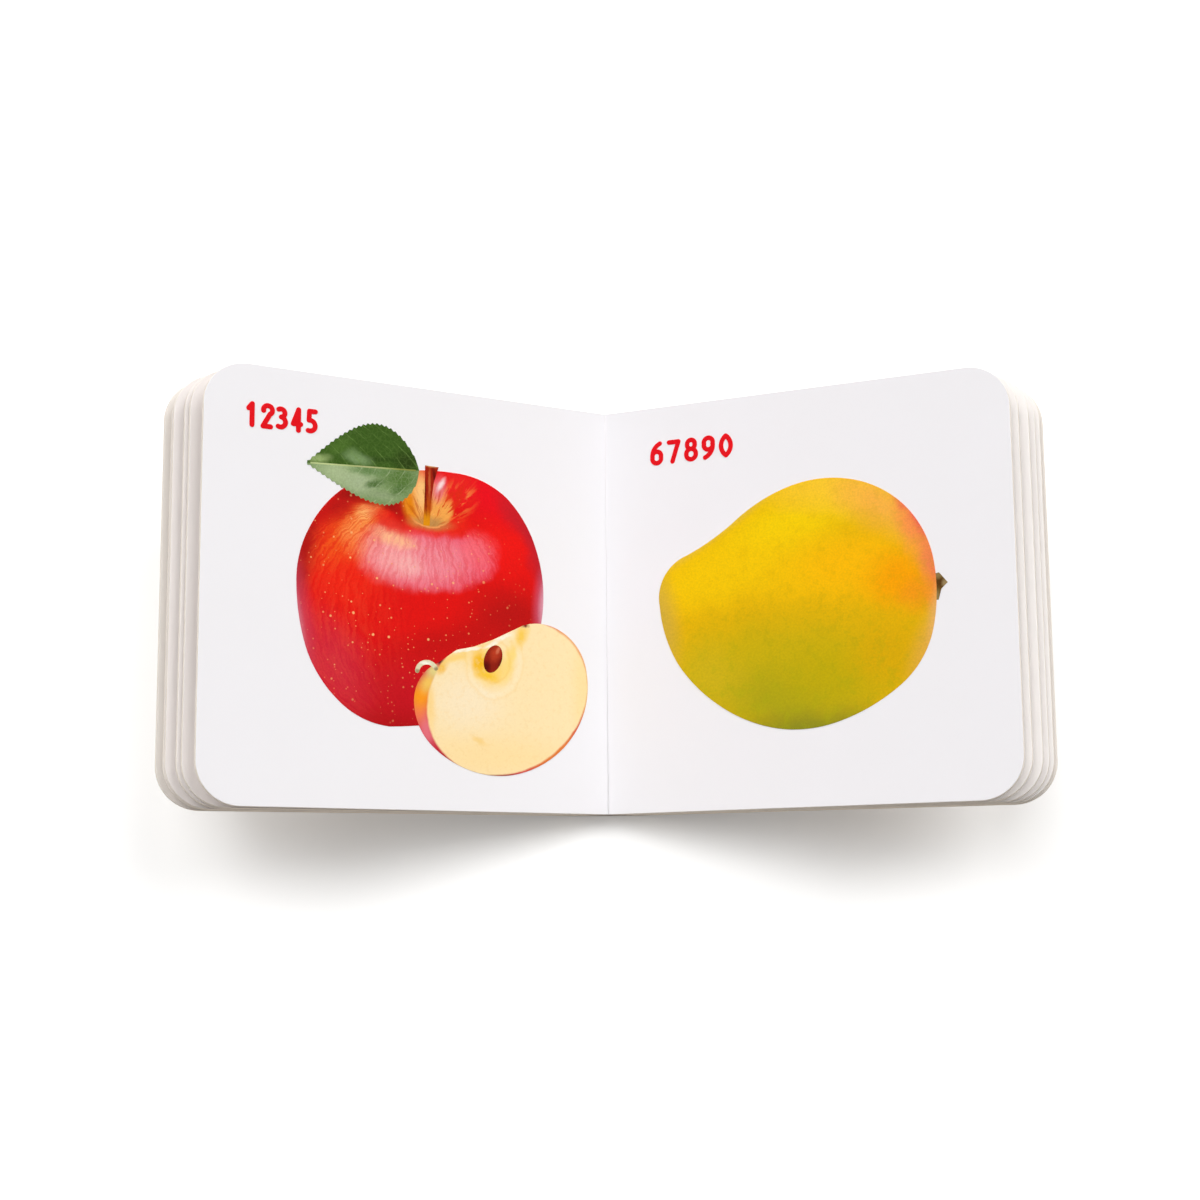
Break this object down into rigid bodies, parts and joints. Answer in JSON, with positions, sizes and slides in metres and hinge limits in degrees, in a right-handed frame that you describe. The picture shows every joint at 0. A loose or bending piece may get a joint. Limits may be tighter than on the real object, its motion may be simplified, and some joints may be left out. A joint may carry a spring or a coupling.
{
  "type": "board book",
  "caption": "Small square board book with thick card leaves and rounded corners, lying open at its middle spread on its spine strip; both covers turn at their creases.",
  "frame": {"origin": "centre of the spine strip's underside, on the surface the book lies on", "axes": "+X across the open spread to the back cover, +Y up the page, +Z away from the surface it lies on"},
  "size_m": [0.2058, 0.1, 0.0482],
  "materials": {
    "page_board": "white coated paper on board, slightly glossy",
    "cover_board": "white coated board, glossy",
    "red_print": "glossy print",
    "ochre_print": "glossy print",
    "pink_print": "glossy print",
    "brown_print": "glossy print",
    "leaf_green_print": "glossy print",
    "pale_green_print": "glossy print",
    "crimson_print": "glossy print",
    "cream_print": "glossy print",
    "dry_sepal_print": "glossy print",
    "numeral_print": "glossy print",
    "yellow_print": "glossy print",
    "orange_print": "glossy print",
    "olive_print": "glossy print"
  },
  "bodies": {
    "book_block": {"pages": "page_board", "spine_strip": "cover_board", "red_fruit_print": "red_print", "fruit_hollow_print": "ochre_print", "fruit_shine_print": "pink_print", "fruit_stem_print": "brown_print", "leaf_blade_print": "leaf_green_print", "leaf_rib_print": "pale_green_print", "slice_skin_print": "crimson_print", "slice_flesh_print": "cream_print", "slice_seed_print": "brown_print", "slice_curl_print": "dry_sepal_print", "left_numerals_print": "numeral_print", "yellow_fruit_print": "yellow_print", "fruit_blush_print": "orange_print", "fruit_green_print": "olive_print", "fruit_stub_print": "brown_print", "right_numerals_print": "numeral_print"},
    "front_board": {"front_cover": "cover_board"},
    "back_board": {"back_cover": "cover_board"}
  },
  "joints": [
    {"name": "front_cover_hinge", "type": "hinge", "parent": "book_block", "child": "front_board", "pos_m": [-0.0088, 0, 0], "axis": [0, -1, 0], "range_deg": [0, 19]},
    {"name": "back_cover_hinge", "type": "hinge", "parent": "book_block", "child": "back_board", "pos_m": [0.0088, 0, 0], "axis": [0, 1, 0], "range_deg": [0, 19]}
  ]
}
